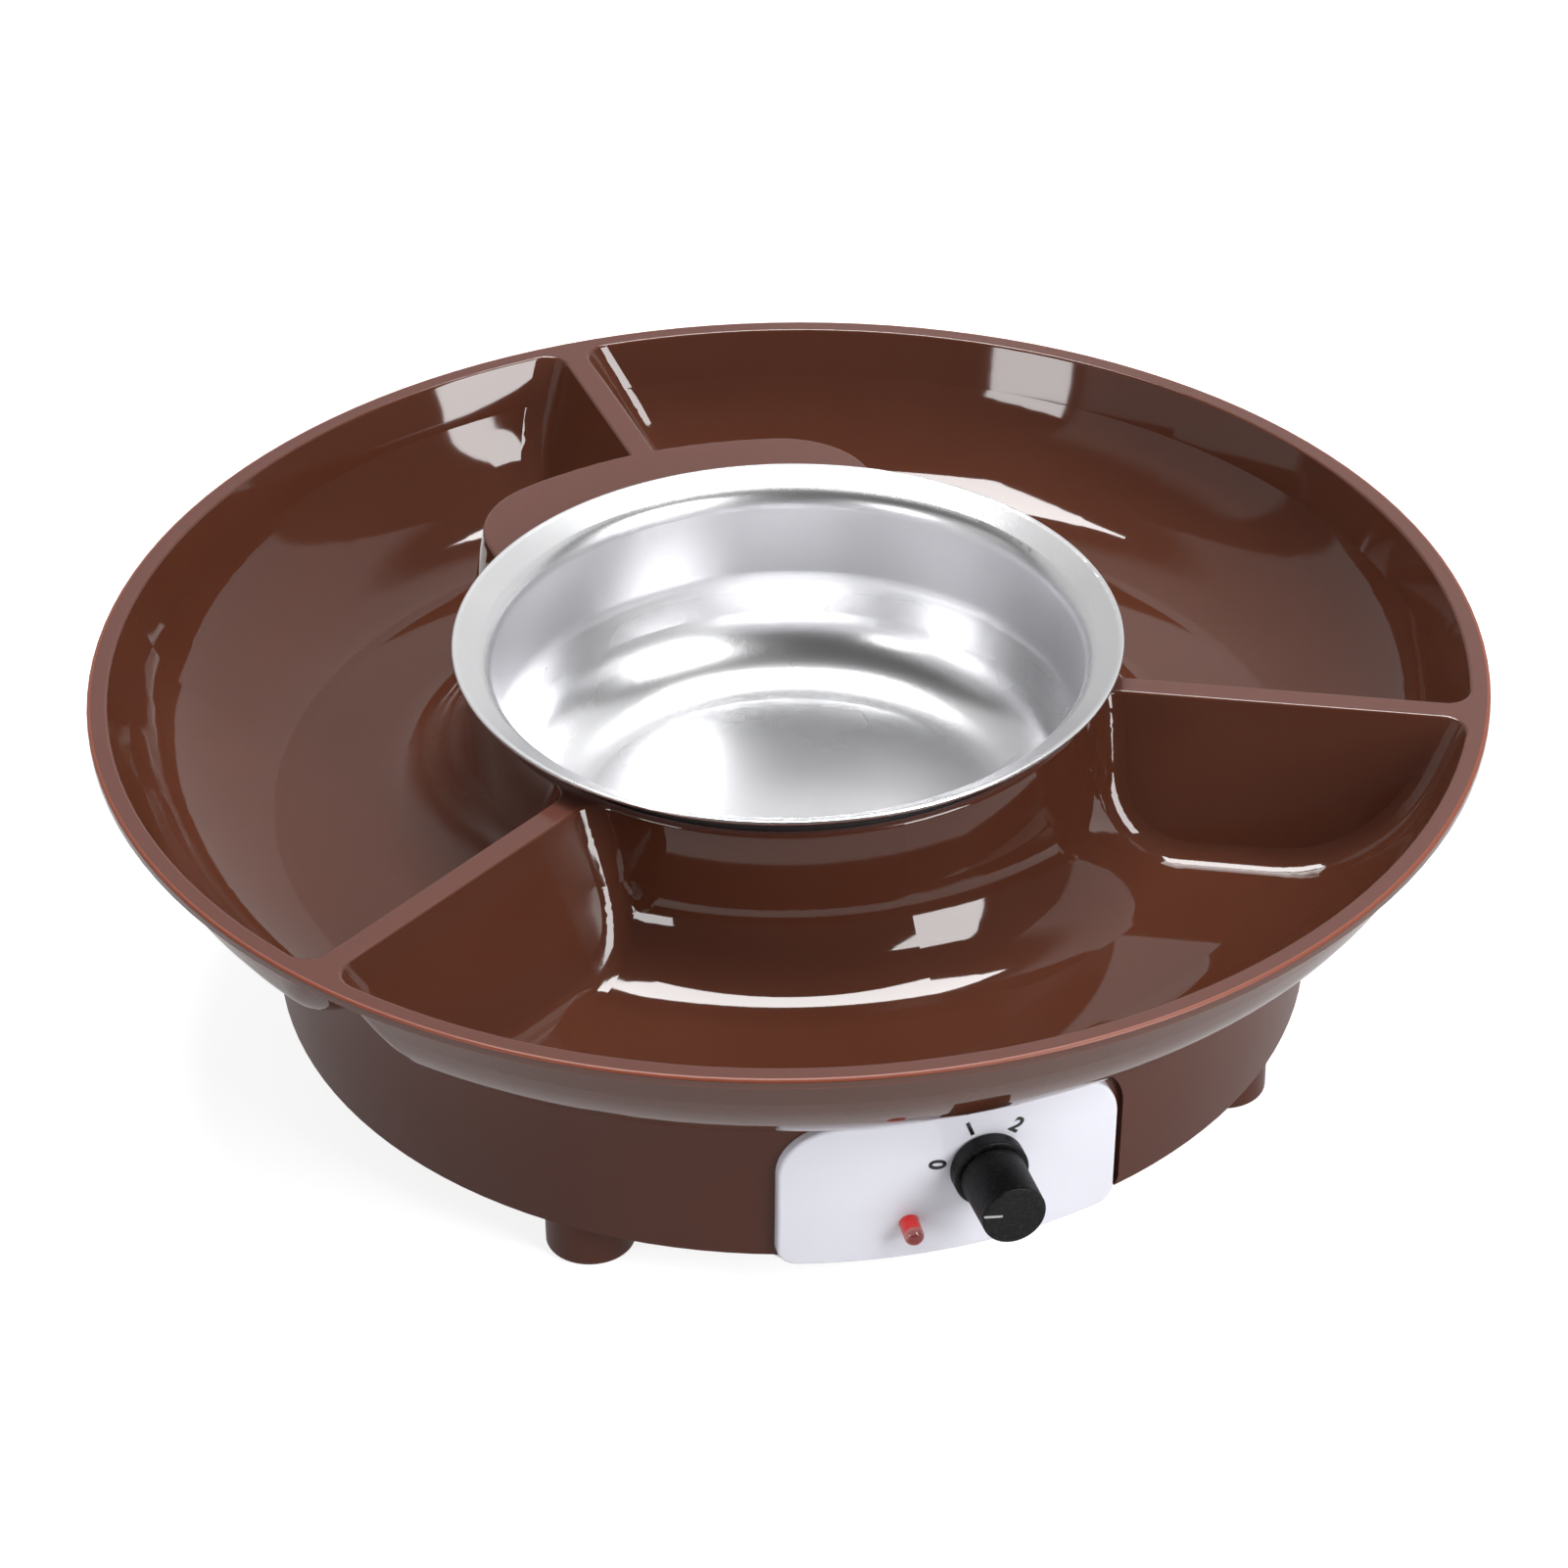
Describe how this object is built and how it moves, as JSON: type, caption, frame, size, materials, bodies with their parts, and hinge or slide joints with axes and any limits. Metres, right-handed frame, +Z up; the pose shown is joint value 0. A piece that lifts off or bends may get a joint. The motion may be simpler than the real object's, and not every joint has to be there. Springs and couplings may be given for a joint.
{
  "type": "electric chocolate melting pot",
  "caption": "Round electric chocolate melter: aluminium pot on a heated drum base inside a three-compartment dipping tray, with front panel, knob and pilot light.",
  "frame": {"origin": "on the table under the middle of the drum, tray and pot", "axes": "+Z up; -Y towards the front, midway between the front feet; dividers of the tray at +Y and at 120 degrees either side of it"},
  "size_m": [0.3, 0.3, 0.0905],
  "materials": {
    "tray_brown": "polished moulded plastic",
    "base_brown": "satin moulded plastic",
    "panel_white": "polished moulded plastic",
    "knob_black": "fine-grained moulded plastic",
    "pointer_white": "inlaid plastic",
    "pot_aluminium": "fine spun satin",
    "clear_lens": "clear moulded plastic",
    "lamp_red": "lit core of the pilot light",
    "cast_plate": "machined casting",
    "steel": "zinc-plated pressed steel",
    "brass": "stamped",
    "rubber_dark": "moulded rubber",
    "silicone": "moulded silicone",
    "fibre": "pressed fibre sheet",
    "black_plastic": "moulded heat-resistant plastic",
    "white_plastic": "moulded nylon",
    "lead_sleeve": "woven and varnished sleeve"
  },
  "bodies": {
    "base": {"base_housing": "base_brown", "bottom_cover": "base_brown", "control_panel": "panel_white", "panel_screws": "steel", "switch_body": "black_plastic", "switch_terminals": "brass", "switch_nut": "steel", "indicator_lens": "clear_lens", "indicator_lamp": "lamp_red", "heater_plate": "cast_plate", "heating_element": "steel", "heat_reflector": "steel", "heater_gasket": "fibre", "dish_screws": "steel", "heater_bracket": "steel", "bracket_screws": "steel", "heater_studs": "steel", "heater_spacers": "steel", "heater_nuts": "steel", "thermostat": "black_plastic", "thermostat_clip": "steel", "thermal_fuse": "steel", "fuse_clamp": "steel", "feet": "base_brown", "foot_pads": "silicone", "cover_screws": "steel", "cord_gland": "rubber_dark", "terminal_block": "white_plastic", "block_screws": "brass", "inner_leads": "lead_sleeve"},
    "knob": {"knob": "knob_black", "knob_pointer": "pointer_white", "knob_spring": "steel", "switch_shaft": "white_plastic"},
    "tray": {"serving_tray": "tray_brown"},
    "pot": {"melting_pot": "pot_aluminium"}
  },
  "joints": [
    {"name": "knob_turn", "type": "hinge", "parent": "base", "child": "knob", "pos_m": [-0.00205, -0.11685, 0.0329], "axis": [0.0671, 0.9977, 0], "range_deg": [0, 120]},
    {"name": "tray_lift", "type": "slide", "parent": "base", "child": "tray", "axis": [0, 0, 1], "range_m": [0, 0.06]},
    {"name": "pot_lift", "type": "slide", "parent": "tray", "child": "pot", "axis": [0, 0, 1], "range_m": [0, 0.06]}
  ]
}
